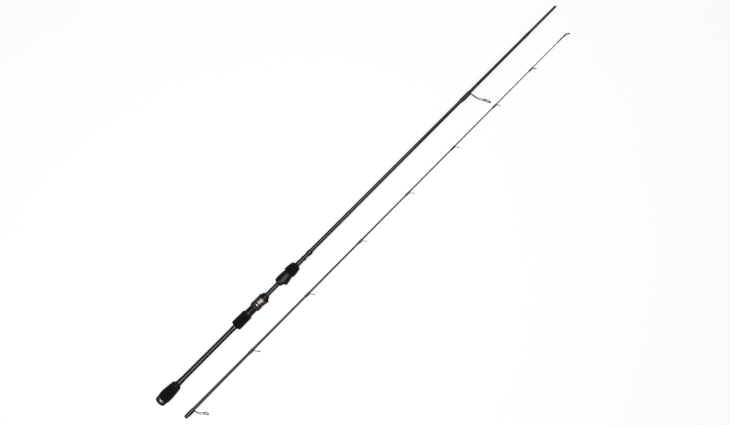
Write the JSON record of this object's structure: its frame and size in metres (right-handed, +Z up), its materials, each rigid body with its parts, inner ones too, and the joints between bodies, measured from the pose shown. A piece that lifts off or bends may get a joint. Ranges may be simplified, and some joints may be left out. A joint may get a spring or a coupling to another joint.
{
  "type": "spinning rod",
  "caption": "Two-piece spinning fishing rod taken down: butt section with split foam grips and screw-locking reel seat, and a slim tip section with ring guides.",
  "frame": {"origin": "centre of the flat end face of the butt cap, on the butt section's axis", "axes": "+X along the butt section towards its ferrule, -Y the side that the guides and the reel's foot are on, +Z up from the floor that the grips lie on"},
  "size_m": [1.0945, 0.0985, 0.0253],
  "materials": {
    "eva_foam": "fine closed-cell foam, dead matt",
    "cap_rubber": "smooth matt",
    "check_rubber": "satin",
    "champagne_metal": "anodised, fine turning lines",
    "polished_ring": "polished",
    "seat_nylon": "fine moulded grain, soft sheen",
    "arbor_foam": "rough",
    "blank_carbon": "clear-coated carbon, fine tape ridges",
    "wrap_varnish": "thread under gloss varnish",
    "guide_metal": "dark gunmetal plating",
    "guide_ceramic": "polished ceramic",
    "keeper_wire": "dark plated wire"
  },
  "bodies": {
    "butt_section": {"butt_blank": "blank_carbon", "butt_cap": "cap_rubber", "butt_grip": "eva_foam", "butt_grip_check": "check_rubber", "butt_ring": "champagne_metal", "butt_wrap": "wrap_varnish", "ferrule_mark_wrap": "wrap_varnish", "foregrip": "eva_foam", "foregrip_check": "check_rubber", "foregrip_wrap": "wrap_varnish", "front_accent_wrap": "wrap_varnish", "front_arbor": "arbor_foam", "front_hood": "seat_nylon", "guide_1_frame": "guide_metal", "guide_1_ring": "guide_ceramic", "guide_1_wrap": "wrap_varnish", "hook_keeper": "keeper_wire", "keeper_front_wrap": "wrap_varnish", "keeper_rear_wrap": "wrap_varnish", "rear_accent_wrap": "wrap_varnish", "rear_grip": "eva_foam", "rear_wrap": "wrap_varnish", "seat_arbor": "arbor_foam", "seat_barrel": "seat_nylon"},
    "reel_hood": {"moving_hood": "seat_nylon", "hood_band": "champagne_metal"},
    "hood_nut": {"lock_nut": "seat_nylon", "nut_ring": "polished_ring"},
    "tip_section": {"guide_2_frame": "guide_metal", "guide_2_ring": "guide_ceramic", "guide_2_wrap": "wrap_varnish", "guide_3_frame": "guide_metal", "guide_3_ring": "guide_ceramic", "guide_3_wrap": "wrap_varnish", "guide_4_frame": "guide_metal", "guide_4_ring": "guide_ceramic", "guide_4_wrap": "wrap_varnish", "guide_5_frame": "guide_metal", "guide_5_ring": "guide_ceramic", "guide_5_wrap": "wrap_varnish", "guide_6_frame": "guide_metal", "guide_6_ring": "guide_ceramic", "guide_6_wrap": "wrap_varnish", "guide_7_frame": "guide_metal", "guide_7_ring": "guide_ceramic", "guide_7_wrap": "wrap_varnish", "guide_8_frame": "guide_metal", "guide_8_ring": "guide_ceramic", "guide_8_wrap": "wrap_varnish", "guide_9_frame": "guide_metal", "guide_9_ring": "guide_ceramic", "guide_9_wrap": "wrap_varnish", "tip_blank": "blank_carbon", "tip_top_frame": "guide_metal", "tip_top_ring": "guide_ceramic", "tip_top_wrap": "wrap_varnish"}
  },
  "joints": [
    {"name": "hood_slide", "type": "slide", "parent": "butt_section", "child": "reel_hood", "axis": [1, 0, 0], "range_m": [-0.015, 0.002]},
    {"name": "nut_spin", "type": "hinge", "parent": "reel_hood", "child": "hood_nut", "pos_m": [0.266, 0, 0], "axis": [1, 0, 0], "range_deg": [-2710, 370]},
    {"name": "tip_lift", "type": "slide", "parent": "butt_section", "child": "tip_section", "axis": [0, 0, 1], "range_m": [0, 0.2]}
  ],
  "couplings": [
    {"joint": "nut_spin", "follows": "hood_slide", "rad_per_m": 3141.6}
  ]
}
